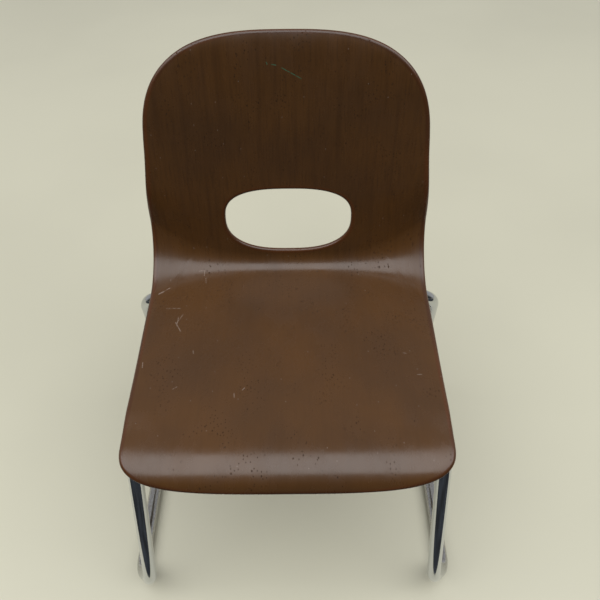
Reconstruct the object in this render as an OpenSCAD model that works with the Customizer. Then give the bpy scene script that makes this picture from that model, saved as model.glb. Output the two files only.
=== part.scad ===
// Stacking chair: a moulded one-piece shell on a bent tube frame with floor runners.
// X is across the seat, Y runs from front to back, Z is up. The floor is at Z = 0.

/* [Seat shell] */
// Width of the seat
seat_w = 425; // [410:1:435]
// Width of the shell at the crease
hip_w = 436; // [425:1:445]
// Width of the upper part of the back
back_w = 416; // [400:1:430]
// Thickness of the moulded shell
shell_t = 9; // [7:0.5:11]
// Height of the top of the front crown above the floor
seat_h = 440; // [420:1:470]
// Length of the seat, from the front crown to the crease
seat_run = 318; // [305:1:335]
// Fall of the seat towards the back, in degrees
seat_tilt = 4; // [2:0.5:6]
// Hollow along the seat, as a change of slope in degrees
seat_hollow = 3; // [0:0.5:6]
// Radius of the rolled front edge
lip_r = 38; // [30:1:50]
// Radius of the front crown, where the seat starts to roll down
crown_r = 72; // [62:1:90]
// Angle that the crown turns, in degrees
crown_turn = 30; // [20:1:40]
// Angle that the front edge rolls down, in degrees
lip_turn = 70; // [60:1:78]
// Radius of the crease between seat and back
crease_r = 32; // [26:1:45]
// Radius of the crease at the shell's sides
side_crease_r = 110; // [100:1:125]
// Lean of the back from upright, in degrees
back_lean = 13; // [8:0.5:18]
// Length of the lower, straight part of the back
back_run = 210; // [180:1:230]
// Length of the upper part of the back, which curves rearwards
crest_run = 100; // [80:1:126]
// Extra lean reached at the top of that part, in degrees
crest_turn = 5; // [0:0.5:10]
// Length of the top edge that rolls back
roll_run = 34; // [20:1:44]
// Extra lean reached at the very top, in degrees
roll_turn = 14; // [0:0.5:24]
// Depth of the rounded front corners, along the surface
front_corner = 62; // [52:1:80]
// Depth of the rounded top corners, along the surface
top_corner = 170; // [130:1:180]

/* [Dishing] */
// Rise of the seat's sides at the front edge
dish_front = 3; // [0:0.5:8]
// Rise of the seat's sides behind the front crown
dish_seat = 12; // [4:0.5:18]
// Length over which that rise fades out at the front crown
dish_fade = 80; // [60:1:110]
// How far the sides come forward at the crease
dish_crease = 12; // [6:0.5:18]
// How far the sides come forward on the lower back
dish_back = 24; // [14:0.5:34]
// How far the sides come forward at the top edge
dish_top = 12; // [4:0.5:20]

/* [Hand slot] */
// Width of the hand slot
slot_w = 200; // [160:1:210]
// Height of the hand slot, along the surface
slot_h = 107; // [90:1:112]
// Distance from the crease's end up to the middle of the slot
slot_up = 61; // [57:1:90]

/* [Frame] */
// Outside diameter of the tube
tube_d = 22; // [20:0.5:24]
// Wall of the tube
tube_wall = 2; // [1.5:0.1:2.5]
// Distance between the runners, centre to centre
runner_span = 534; // [526:1:545]
// Distance between the front legs at their top bends, centre to centre
front_span = 434; // [426:1:442]
// Distance between the rear top corners, centre to centre
rear_span = 482; // [472:1:488]
// Distance between the front legs at the knee above the foot
knee_span = 477; // [468:1:486]
// Height of the knee
knee_h = 60; // [54:1:70]
// From the front edge of the seat back to the top bend of the front leg
front_top_y = 96; // [88:1:104]
// From the front edge back to the knee
knee_y = 9; // [4:1:16]
// From the front edge back to the front foot
front_foot_y = 40; // [34:1:48]
// From the front edge back to the rear rail
rear_top_y = 354; // [346:1:358]
// From the front edge back to the rear foot
rear_foot_y = 444; // [430:1:455]
// Distance between the rear ends of the seat rails, centre to centre
rail_span = 300; // [290:1:310]
// Bend radius at the front top, at the tube's centre
front_bend = 48; // [40:1:56]
// Bend radius at the rear top
rear_bend = 34; // [33:1:38]
// Bend radius at the knee and at the front foot
foot_bend = 36; // [34:1:40]
// Bend radius at the rear foot
heel_bend = 60; // [45:1:80]
// Length of the sleeves inside the rear rail's joints
sleeve_len = 28; // [20:1:30]
// Wall of the sleeves
sleeve_wall = 2; // [1.5:0.1:2.5]
// Clear length between a seat rail and the joint beside it
rail_margin = 4; // [3:0.5:6]

/* [Fixings] */
// Gap between the seat rails and the underside of the seat
rail_drop = 10; // [9:0.5:14]
// Thickness of the fixing brackets
bracket_t = 3; // [2.5:0.5:4]
// Width of the brackets along the rail
bracket_w = 30; // [26:1:36]
// Thickness of the resilient pads
pad_t = 3; // [2:0.5:4]
// Diameter of the bosses and pads under the seat
boss_d = 26; // [22:1:30]
// Diameter of the fixing screws
screw_d = 6; // [5:0.5:7]
// Length of the screw thread held in the insert
screw_grip = 8; // [6:0.5:9]
// Outside diameter of the threaded inserts
insert_d = 10; // [9:0.5:12]
// Length of the threaded inserts
insert_len = 9; // [8:0.5:10]
// Thickness of the flat washers
washer_t = 1.6; // [1:0.1:2]
// Thickness of the spring washers
spring_t = 1.6; // [1:0.1:2]
// Sideways distance from a rail's centre to its screws
screw_side = 25; // [23:0.5:28]
// From the top bend of the front leg back to the front screws
front_screw = 72; // [66:1:80]
// From the top bend of the front leg back to the rear screws
rear_screw = 208; // [196:1:214]
// From the top bend of the front leg back to the front cross tube
cross_at = 44; // [40:1:48]
// Outside diameter of the front cross tube
cross_d = 18; // [16:0.5:20]

/* [Feet and buffers] */
// Height of a floor glide's pad under the runner
glide_h = 4; // [3:0.5:6]
// Length of a floor glide
glide_len = 44; // [36:1:52]
// Width of a floor glide
glide_w = 15; // [13:0.5:18]
// Diameter of a glide's stem
glide_stem_d = 8; // [6:0.5:9]
// From the front foot back to the front glides
front_glide = 45; // [40:1:60]
// From the rear foot forward to the rear glides
rear_glide = 75; // [70:1:90]
// Distance between the stacking buffers, centre to centre
buffer_span = 240; // [200:2:280]
// Length of a stacking buffer along the cross tube
buffer_len = 30; // [24:1:40]
// Wall of a stacking buffer
buffer_wall = 4; // [3:0.5:6]

/* [Hidden] */

$fn = 48;
steps_round = 88;                       // points around the outline of the shell
steps_across = 24;                      // rings from the slot to the edge
edge_step = 30;                         // degrees between the rings of the rounded rim
front_power = 3.1;                      // squareness of the shell's front corners
top_power = 2.83;                       // squareness of its top corners
slot_power = 2.7;                       // squareness of the slot
dish_power = 3;                         // how far out the dishing starts

// ---- the shell's centre line: arcs given as [length, turn in degrees]
edge_turn = lip_turn + seat_tilt + seat_hollow / 2 - crown_turn;
lip_len = lip_r * edge_turn * PI / 180;
crown_len = crown_r * crown_turn * PI / 180;
crease_turn = 90 - back_lean + seat_tilt - seat_hollow / 2;
crease_len = crease_r * crease_turn * PI / 180;
arcs = [
    [lip_len, -edge_turn],
    [crown_len, -crown_turn],
    [seat_run, seat_hollow],
    [crease_len, crease_turn],
    [back_run, 0],
    [crest_run, -crest_turn],
    [roll_run, -roll_turn]
];
// the same line at the shell's sides, where the crease is rounder and cuts the corner
side_cut = (side_crease_r - crease_r) * tan(crease_turn / 2);
side_arcs = [
    arcs[0],
    arcs[1],
    [seat_run - side_cut, seat_hollow],
    [side_crease_r * crease_turn * PI / 180, crease_turn],
    [back_run - side_cut, 0],
    arcs[5],
    arcs[6]
];
s_seat = lip_len + crown_len;
s_crease = s_seat + seat_run;
s_back = s_crease + crease_len;
s_crest = s_back + back_run;
s_top = s_crest + crest_run + roll_run;
s_slot = s_back + slot_up;

// the end of an arc that starts at p = [y, z, heading]
function arc_end(p, len, turn) =
    abs(turn) < 0.001
    ? [p[0] + len * cos(p[2]), p[1] + len * sin(p[2]), p[2]]
    : let (r = len * 180 / PI / turn)
      [p[0] + r * (sin(p[2] + turn) - sin(p[2])),
       p[1] - r * (cos(p[2] + turn) - cos(p[2])),
       p[2] + turn];
// where each arc of a line starts
function starts(line, i = 0, p = [0, 0, lip_turn]) =
    i == len(line) ? [] : concat([p], starts(line, i + 1, arc_end(p, line[i][0], line[i][1])));
middle_starts = starts(arcs);
side_starts = starts(side_arcs);
// distance s along the centre line, as [arc, share of that arc]
function arc_at(s, i = 0) =
    i == len(arcs) - 1 || s <= arcs[i][0] ? [i, s / arcs[i][0]] : arc_at(s - arcs[i][0], i + 1);
function on_line(line, from, at) =
    arc_end(from[at[0]], line[at[0]][0] * at[1], line[at[0]][1] * at[1]);
// the centre line, and the line of the sides, at distance s from the front edge
function along(s) = on_line(arcs, middle_starts, arc_at(s));
function along_side(s) = on_line(side_arcs, side_starts, arc_at(s));

// a smooth step from 0 to 1
function ease(t) = let (u = max(0, min(1, t))) u * u * (3 - 2 * u);
function blend(s, stations, i = 0) =
    i == len(stations) - 2 || s <= stations[i + 1][0]
    ? stations[i][1] + (stations[i + 1][1] - stations[i][1])
      * ease((s - stations[i][0]) / (stations[i + 1][0] - stations[i][0]))
    : blend(s, stations, i + 1);

dish_stations = [
    [s_seat - dish_fade / 4, dish_front], [s_seat + dish_fade * 3 / 4, dish_seat],
    [s_crease + crease_len / 2, dish_crease],
    [s_back + back_run / 2, dish_back], [s_top, dish_top]
];
width_stations = [
    [front_corner, seat_w / 2], [s_back, hip_w / 2], [s_crest, back_w / 2], [s_top, back_w / 2]
];

// the shell's middle surface, and its normal towards the sitter from points 1 mm apart
function mid(x, s) =
    let (share = pow(abs(x) * 2 / seat_w, dish_power), d = blend(s, dish_stations) * share,
         p = along(s) * (1 - share) + along_side(s) * share)
    [x, p[0] - d * sin(p[2]), p[1] + d * cos(p[2])];
function unit(v) = v / norm(v);
function normal(x, s) = unit(cross(mid(x + 0.5, s) - mid(x - 0.5, s), mid(x, s + 0.5) - mid(x, s - 0.5)));

// the shell's outline in the flat, drawn in by inset, at t from 0 (front) to 1 (top) and back to 2
turn_in = 0.2;                          // share of the half outline taken by the front edge
turn_out = 0.7;                         // share at which the top corner starts
crease_from = 0.36;                     // shares at which the sides reach and leave the crease
crease_to = 0.54;
crease_room = 10;                       // how far beyond the crease those shares lie
side_stations = [
    [turn_in, front_corner], [crease_from, s_crease - crease_room],
    [crease_to, s_back + crease_room], [turn_out, s_top - top_corner]
];
function outline(t, inset) =
    t > 1 ? let (q = outline(2 - t, inset)) [-q[0], q[1]] :
    t < turn_in ? let (a = 90 * (1 - t / turn_in))
        [(seat_w / 2 - inset) * pow(cos(a), 2 / front_power),
         front_corner - (front_corner - inset) * pow(sin(a), 2 / front_power)] :
    t < turn_out ? let (s = lookup(t, side_stations))
        [blend(s, width_stations) - inset, s] :
    let (a = 90 * (t - turn_out) / (1 - turn_out),
         s = s_top - top_corner + (top_corner - inset) * pow(sin(a), 2 / top_power))
        [(blend(s, width_stations) - inset) * pow(cos(a), 2 / top_power), s];
function slot_line(t, inset) =
    t > 1 ? let (q = slot_line(2 - t, inset)) [-q[0], q[1]] :
    let (a = 180 * t - 90)
    [(slot_w / 2 + inset) * pow(cos(a), 2 / slot_power),
     s_slot + (slot_h / 2 + inset) * sign(a) * pow(abs(sin(a)), 2 / slot_power)];

// rings of the shell: [share of the way from slot to edge, inset, height], closed on themselves
rim = [
    for (a = [edge_step : edge_step : 180 - edge_step])
        [shell_t / 2 * (1 - sin(a)), shell_t / 2 * cos(a)]
];
rings = concat(
    [for (k = [0 : steps_across]) [ease(k / steps_across), shell_t / 2, shell_t / 2]],
    [for (r = rim) [1, r[0], r[1]]],
    [for (k = [steps_across : -1 : 0]) [ease(k / steps_across), shell_t / 2, -shell_t / 2]],
    [for (k = [len(rim) - 1 : -1 : 0]) [0, rim[k][0], rim[k][1]]]
);
function shell_point(t, ring) =
    let (p = slot_line(t, ring[1]) * (1 - ring[0]) + outline(t, ring[1]) * ring[0])
    mid(p[0], p[1]) + normal(p[0], p[1]) * ring[2];
lifted = seat_h - shell_t / 2 - along(s_seat)[1];
raw_points = [for (ring = rings) for (i = [0 : steps_round - 1]) shell_point(2 * i / steps_round, ring)];
mid_y = (min([for (p = raw_points) p[1]]) + max([for (p = raw_points) p[1]])) / 2;
to_place = [0, -mid_y, lifted];
shell_faces = [
    for (j = [0 : len(rings) - 1]) for (i = [0 : steps_round - 1])
    let (n = steps_round, a = j * n + i, b = j * n + (i + 1) % n,
         c = ((j + 1) % len(rings)) * n + (i + 1) % n, d = ((j + 1) % len(rings)) * n + i)
    each [[a, b, c], [a, c, d]]
];

// ---- the frame's plane: x across, a back along the seat rails, n up towards the seat
edge_y = min([for (p = raw_points) p[1]]);          // the front edge of the moulded shell
function s_at(y) = s_seat + (y - along(s_seat)[0]) / cos(seat_tilt);
function under_z(y) = mid(0, s_at(y))[2] - shell_t / 2 / cos(seat_tilt);
front_y = edge_y + front_top_y;
rear_y = edge_y + rear_top_y;
front_z = under_z(front_y) - rail_drop - tube_d / 2;
rear_z = under_z(rear_y) - rail_drop - tube_d / 2;
rail_len = norm([rear_y - front_y, rear_z - front_z]);
back_dir = [0, rear_y - front_y, rear_z - front_z] / rail_len;
up_dir = cross([1, 0, 0], back_dir);
plane_at = [0, front_y - mid_y, front_z + lifted];
function rail_x(a) = front_span / 2 + (rail_span - front_span) / 2 * a / rail_len;
function on_plane(x, a, n) = plane_at + [x, 0, 0] + back_dir * a + up_dir * n;

// heights above the rails' axis
bracket_sink = 1;                       // how far a bracket is let down round its rail
bracket_n = tube_d / 2 - bracket_sink;  // the bracket's underside
pad_n = bracket_n + bracket_t;
boss_n = pad_n + pad_t;
screw_spots = [
    [rail_x(front_screw) - screw_side, front_screw],
    [rail_x(rear_screw) - screw_side, rear_screw]
];
// the shell's underside above a point of the plane, as a height above the rails' axis
function shell_n(x, a) =
    let (s = s_at(front_y + back_dir[1] * a), p = mid(x, s) - normal(x, s) * shell_t / 2)
    (p + to_place - plane_at) * up_dir;

// ---- placing, rods and rings
past = 1;                               // how far a cutter reaches past what it cuts
module place(origin, ex, ez) {
    ey = cross(ez, ex);
    multmatrix([
        [ex[0], ey[0], ez[0], origin[0]],
        [ex[1], ey[1], ez[1], origin[1]],
        [ex[2], ey[2], ez[2], origin[2]],
        [0, 0, 0, 1]
    ]) children();
}
module in_plane(x, a, n = 0) {
    place(on_plane(x, a, n), [1, 0, 0], up_dir) children();
}
function square_to(v) = unit(abs(v[2]) < 0.9 ? cross(v, [0, 0, 1]) : cross(v, [1, 0, 0]));
module rod(from, to, r) {
    ez = unit(to - from);
    place(from, square_to(ez), ez) cylinder(h = norm(to - from), r = r);
}
module tube(from, to, outer, inner) {
    beyond = unit(to - from) * past;
    difference() {
        rod(from, to, outer);
        rod(from - beyond, to + beyond, inner);
    }
}
module ring(inner, outer, h) {
    difference() {
        cylinder(h = h, d = outer);
        translate([0, 0, -past]) cylinder(h = h + past * 2, d = inner);
    }
}

// ---- a tube bent along corner points p: one closed surface, outside and bore
tube_sides = 24;
bend_step = 10;                         // degrees between the rings of a bend
function bend_angle(p, i) = acos(unit(p[i] - p[i - 1]) * unit(p[i + 1] - p[i]));
function bend_reach(p, bends, i) = bends[i] * tan(bend_angle(p, i) / 2);
// the stations of one bend, each as [place, direction]
function bend_stations(p, bends, i) =
    let (u = unit(p[i] - p[i - 1]), w = unit(p[i + 1] - p[i]), angle = bend_angle(p, i),
         centre = p[i] + unit(w - u) * bends[i] / cos(angle / 2),
         out = (p[i] - u * bend_reach(p, bends, i) - centre) / bends[i],
         n = ceil(angle / bend_step))
    [for (k = [0 : n]) let (t = angle * k / n)
        [centre + (out * cos(t) + u * sin(t)) * bends[i], u * cos(t) - out * sin(t)]];
function path_stations(p, bends) = concat(
    [[p[0], unit(p[1] - p[0])]],
    [for (i = [1 : len(p) - 2]) each bend_stations(p, bends, i)],
    [[p[len(p) - 1], unit(p[len(p) - 1] - p[len(p) - 2])]]
);
// a direction square to the path, carried along it without twist
function carried(stations, i = 0, e = undef) =
    i == len(stations) ? [] :
    let (t = stations[i][1], f = e == undef ? square_to(t) : unit(e - t * (e * t)))
    concat([f], carried(stations, i + 1, f));
module bent_tube(p, bends, outer, inner) {
    stations = path_stations(p, bends);
    across = carried(stations);
    m = len(stations);
    n = tube_sides;
    points = [
        for (j = [0 : 2 * m - 1])
        let (i = j < m ? j : 2 * m - 1 - j, r = j < m ? outer : inner, st = stations[i],
             e = across[i], f = cross(st[1], e))
        for (k = [0 : n - 1]) st[0] + (e * cos(360 * k / n) + f * sin(360 * k / n)) * r
    ];
    faces = [
        for (j = [0 : 2 * m - 1]) for (k = [0 : n - 1])
        let (a = j * n + k, b = j * n + (k + 1) % n,
             c = ((j + 1) % (2 * m)) * n + (k + 1) % n, d = ((j + 1) % (2 * m)) * n + k)
        each [[a, c, b], [a, d, c]]
    ];
    polyhedron(points, faces);
}

// ---- the right-hand side of the frame
runner_z = glide_h + tube_d / 2;
bore_r = tube_d / 2 - tube_wall;
stem_clear = 0.2;                       // holes for the glides' stems, over the stems
stem_in = 4;                            // reach of a glide's stem inside the bore
seat_gap = 0.05;                        // clearance between pieces that are pushed together
joint_x = rail_span / 2 + tube_d + rail_margin;     // where the side tubes meet the rear rail
function from_edge(x, y, z) = [x, edge_y - mid_y + y, z];
side_path = [
    on_plane(rail_x(rail_len), rail_len, 0),
    on_plane(rail_x(0), 0, 0),
    from_edge(knee_span / 2, knee_y, knee_h),
    from_edge(runner_span / 2, front_foot_y, runner_z),
    from_edge(runner_span / 2, rear_foot_y, runner_z),
    on_plane(rear_span / 2, rail_len, 0),
    on_plane(joint_x, rail_len, 0)
];
side_bends = [0, front_bend, foot_bend, foot_bend, heel_bend, rear_bend, 0];
glide_spots = [
    from_edge(runner_span / 2, front_foot_y + front_glide, runner_z),
    from_edge(runner_span / 2, rear_foot_y - rear_glide, runner_z)
];

// one tube makes the seat rail, front leg, runner and rear leg; its rail is coped to the rear rail
module side_tube() {
    difference() {
        bent_tube(side_path, side_bends, tube_d / 2, bore_r);
        rod(on_plane(0, rail_len, 0), on_plane(joint_x - rail_margin / 2, rail_len, 0), tube_d / 2);
        for (spot = glide_spots)
            translate([spot[0], spot[1], 0]) cylinder(h = runner_z, d = glide_stem_d + stem_clear);
    }
}
module rear_rail() {
    color("silver")
        tube(on_plane(-joint_x, rail_len, 0), on_plane(joint_x, rail_len, 0), tube_d / 2, bore_r);
}

// the four fixings: [side, place on the frame's plane]; side is -1 on the left and 1 on the right
fixings = [for (spot = screw_spots) for (side = [-1, 1]) [side, spot]];
module at_fixing(f, n) {
    in_plane(f[0] * f[1][0], f[1][1], n) children();
}
hole_clear = 0.6;                       // screw holes in brackets, pads and washers, over the screws
hole_d = screw_d + hole_clear;
pocket_d = insert_d + seat_gap * 2;
pocket_deep = insert_len + 0.5;         // pocket for an insert in its boss
// proportions of a button-headed screw, its socket and its washers
head_d = screw_d * 1.8;
head_end = 0.6;                         // share of the head's width at its outer face
head_h = screw_d * 0.6;
socket_d = screw_d * 0.65;
socket_deep = screw_d * 0.35;
washer_d = screw_d * 2;
spring_d = screw_d * 1.7;
spring_clear = 0.2;                     // bore of a spring washer over the screw
spring_slit = 1;
washer_n = bracket_n - washer_t;        // the flat washer's underside
spring_n = washer_n - spring_t;         // the spring washer's underside

module seat_shell() {
    color("#4a3021") difference() {
        union() {
            translate(to_place) polyhedron(raw_points, shell_faces);
            for (f = fixings) {
                root_n = shell_n(f[1][0], f[1][1]) + shell_t / 2;
                at_fixing(f, boss_n) cylinder(h = root_n - boss_n, d = boss_d);
            }
        }
        for (f = fixings) at_fixing(f, boss_n - past) cylinder(h = pocket_deep + past, d = pocket_d);
    }
}

module right_frame_tube() { color("silver") side_tube(); }
module left_frame_tube() { color("silver") mirror([1, 0, 0]) side_tube(); }

// inner sleeves join the rear rail to the side tubes
module rail_sleeve(side) {
    color("dimgray")
        tube(on_plane(side * joint_x - sleeve_len / 2, rail_len, 0),
             on_plane(side * joint_x + sleeve_len / 2, rail_len, 0), bore_r - seat_gap, bore_r - sleeve_wall);
}
module left_rail_sleeve() { rail_sleeve(-1); }
module right_rail_sleeve() { rail_sleeve(1); }

// a straight tube ties the two seat rails, coped against them at both ends
module front_cross_tube() {
    half = rail_x(cross_at);
    color("silver") difference() {
        tube(on_plane(-half, cross_at, 0), on_plane(half, cross_at, 0), cross_d / 2, cross_d / 2 - tube_wall);
        for (side = [-1, 1]) seat_rail(side, tube_d / 2);
    }
}
module seat_rail(side, r) {
    rod(on_plane(side * rail_x(-tube_d), -tube_d, 0), on_plane(side * rail_x(rail_len), rail_len, 0), r);
}

// a bracket is a flat tab with a round end, welded on top of its rail
module bracket(f) {
    side = f[0];
    spot = f[1];
    reach = screw_side + tube_d / 4;
    color("silver") difference() {
        in_plane(side * spot[0], spot[1], bracket_n) union() {
            cylinder(h = bracket_t, d = bracket_w);
            translate([side > 0 ? 0 : -reach, -bracket_w / 2, 0]) cube([reach, bracket_w, bracket_t]);
        }
        in_plane(side * spot[0], spot[1], bracket_n - past)
            cylinder(h = bracket_t + past * 2, d = hole_d);
        seat_rail(side, tube_d / 2);
    }
}
module front_left_bracket() { bracket(fixings[0]); }
module front_right_bracket() { bracket(fixings[1]); }
module rear_left_bracket() { bracket(fixings[2]); }
module rear_right_bracket() { bracket(fixings[3]); }

// a resilient pad lies between each bracket and its boss
module pad(f) {
    color("#222222") at_fixing(f, pad_n) ring(hole_d, boss_d, pad_t);
}
module front_left_pad() { pad(fixings[0]); }
module front_right_pad() { pad(fixings[1]); }
module rear_left_pad() { pad(fixings[2]); }
module rear_right_pad() { pad(fixings[3]); }

// a threaded insert lies flush with its boss's face
module insert(f) {
    color("goldenrod") at_fixing(f, boss_n) ring(screw_d + seat_gap * 2, insert_d, insert_len);
}
module front_left_insert() { insert(fixings[0]); }
module front_right_insert() { insert(fixings[1]); }
module rear_left_insert() { insert(fixings[2]); }
module rear_right_insert() { insert(fixings[3]); }

// a button-headed screw, put in from below
module screw(f) {
    color("lightgray") at_fixing(f, spring_n) difference() {
        union() {
            cylinder(h = boss_n - spring_n + screw_grip, d = screw_d);
            translate([0, 0, -head_h]) cylinder(h = head_h, d1 = head_d * head_end, d2 = head_d);
        }
        translate([0, 0, -head_h - past]) cylinder(h = socket_deep + past, d = socket_d, $fn = 6);
    }
}
module front_left_screw() { screw(fixings[0]); }
module front_right_screw() { screw(fixings[1]); }
module rear_left_screw() { screw(fixings[2]); }
module rear_right_screw() { screw(fixings[3]); }

module flat_washer(f) {
    color("lightgray") at_fixing(f, washer_n) ring(hole_d, washer_d, washer_t);
}
module front_left_flat_washer() { flat_washer(fixings[0]); }
module front_right_flat_washer() { flat_washer(fixings[1]); }
module rear_left_flat_washer() { flat_washer(fixings[2]); }
module rear_right_flat_washer() { flat_washer(fixings[3]); }

// a spring washer is a ring with a slit
module spring_washer(f) {
    color("gray") at_fixing(f, spring_n) difference() {
        ring(screw_d + spring_clear, spring_d, spring_t);
        translate([0, -spring_slit / 2, -past]) cube([screw_d, spring_slit, spring_t + past * 2]);
    }
}
module front_left_spring_washer() { spring_washer(fixings[0]); }
module front_right_spring_washer() { spring_washer(fixings[1]); }
module rear_left_spring_washer() { spring_washer(fixings[2]); }
module rear_right_spring_washer() { spring_washer(fixings[3]); }

// a floor glide cups the underside of the runner and is plugged into it by a stem
cup_h = 3;                              // how far a glide's rim rises beside the runner
foot_in = 1.5;                          // how far a glide's ends draw in towards the floor
waist_in = 1;                           // how far its straight sides stand in from its ends
module glide(side, spot) {
    stem_top = runner_z - bore_r + stem_in;
    straight = glide_len - glide_w;
    color("#1c1c1c") translate([side * spot[0], spot[1], 0]) union() {
        difference() {
            union() {
                for (end = [-1, 1]) translate([0, end * straight / 2, 0])
                    cylinder(h = glide_h + cup_h, d1 = glide_w - foot_in * 2, d2 = glide_w);
                translate([-glide_w / 2 + waist_in, -straight / 2, 0])
                    cube([glide_w - waist_in * 2, straight, glide_h + cup_h]);
            }
            rod([0, -glide_len, runner_z], [0, glide_len, runner_z], tube_d / 2 + seat_gap);
        }
        translate([0, 0, glide_h / 2]) cylinder(h = stem_top - glide_h / 2, d = glide_stem_d);
    }
}
module front_left_glide() { glide(-1, glide_spots[0]); }
module front_right_glide() { glide(1, glide_spots[0]); }
module rear_left_glide() { glide(-1, glide_spots[1]); }
module rear_right_glide() { glide(1, glide_spots[1]); }

// stacking buffers clip round the front cross tube, open at the top
mouth = 0.55;                           // height of the open side, as a share of the bore's radius
module stacking_buffer(side) {
    from = side * buffer_span / 2 - buffer_len / 2;
    to = from + buffer_len;
    inner = cross_d / 2 + seat_gap;
    color("#222222") difference() {
        rod(on_plane(from, cross_at, 0), on_plane(to, cross_at, 0), inner + buffer_wall);
        rod(on_plane(from - past, cross_at, 0), on_plane(to + past, cross_at, 0), inner);
        in_plane(from - past, cross_at, inner * mouth) translate([0, -cross_d, 0])
            cube([buffer_len + past * 2, cross_d * 2, cross_d]);
    }
}
module left_stacking_buffer() { stacking_buffer(-1); }
module right_stacking_buffer() { stacking_buffer(1); }

seat_shell();
left_frame_tube();
right_frame_tube();
rear_rail();
front_cross_tube();
left_rail_sleeve();
right_rail_sleeve();
front_left_bracket();
front_right_bracket();
rear_left_bracket();
rear_right_bracket();
front_left_pad();
front_right_pad();
rear_left_pad();
rear_right_pad();
front_left_insert();
front_right_insert();
rear_left_insert();
rear_right_insert();
front_left_screw();
front_right_screw();
rear_left_screw();
rear_right_screw();
front_left_flat_washer();
front_right_flat_washer();
rear_left_flat_washer();
rear_right_flat_washer();
front_left_spring_washer();
front_right_spring_washer();
rear_left_spring_washer();
rear_right_spring_washer();
front_left_glide();
front_right_glide();
rear_left_glide();
rear_right_glide();
left_stacking_buffer();
right_stacking_buffer();
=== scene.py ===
"""Stacking chair: a moulded shell on a bent tube frame, dressed over its CAD frame.

X is across the seat, Y runs from front to back and Z is up. Lengths are in metres.
"""

from functools import cache
from math import cos, pi, radians, sin, sqrt, tan

import bmesh
import bpy
import numpy as np
from mathutils import Matrix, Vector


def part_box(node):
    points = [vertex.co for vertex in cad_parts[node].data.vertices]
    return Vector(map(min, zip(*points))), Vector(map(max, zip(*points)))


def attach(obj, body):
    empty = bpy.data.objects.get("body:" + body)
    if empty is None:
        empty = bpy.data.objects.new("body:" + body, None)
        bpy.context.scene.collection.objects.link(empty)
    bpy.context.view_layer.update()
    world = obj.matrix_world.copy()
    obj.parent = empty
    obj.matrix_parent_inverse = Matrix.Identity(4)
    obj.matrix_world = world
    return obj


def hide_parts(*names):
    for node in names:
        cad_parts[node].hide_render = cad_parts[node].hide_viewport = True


bl_info = {
    "name": "Stacking Chair",
    "version": (1, 0, 0),
    "blender": (4, 5, 0),
    "location": "View3D > Sidebar > Chair",
    "description": "Builds a stacking chair with a moulded shell and a bent tube frame",
    "category": "Add Mesh",
}

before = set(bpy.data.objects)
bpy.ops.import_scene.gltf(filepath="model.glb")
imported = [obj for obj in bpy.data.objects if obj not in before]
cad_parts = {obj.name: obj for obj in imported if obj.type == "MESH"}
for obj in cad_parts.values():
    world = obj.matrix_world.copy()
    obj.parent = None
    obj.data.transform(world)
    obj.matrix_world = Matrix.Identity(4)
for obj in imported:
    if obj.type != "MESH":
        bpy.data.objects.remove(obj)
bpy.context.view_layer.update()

SIDES = ((-1, "left"), (1, "right"))
NEAR = 0.0005  # half the step used to take slopes from a surface
HAIR = 0.00005  # the clearance of a close fit
SCREW_PLAY = 0.0003  # between a screw and its hole, all round
RIPPLE = 0.08  # how far a weld bead's radius swells and shrinks


# ---- sizes and colours

def length(name, text, value):
    """A length that a user can change."""
    return bpy.props.FloatProperty(name=name, description=text, default=value, unit="LENGTH", precision=4)


def angle(name, text, value):
    """An angle that a user can change, given in degrees."""
    return bpy.props.FloatProperty(name=name, description=text, default=radians(value), unit="ROTATION")


def power(name, text, value):
    """The power of a rounded outline: 2 is an ellipse, and more is squarer."""
    return bpy.props.FloatProperty(name=name, description=text, default=value, min=1.5, max=6)


def paint(name, text, code):
    """A colour that a user can change, given as an sRGB hex value."""
    return bpy.props.FloatVectorProperty(
        name=name, description=text, default=linear(code)[:3], size=3, subtype="COLOR", min=0, max=1)


def linear(code):
    """The linear colour of an sRGB hex value such as #8a6f5c, with full alpha."""
    value = np.array([int(code[i:i + 2], 16) for i in (1, 3, 5)]) / 255
    low = value / 12.92
    high = ((value + 0.055) / 1.055) ** 2.4
    return (*np.where(value <= 0.04045, low, high).tolist(), 1.0)


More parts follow.
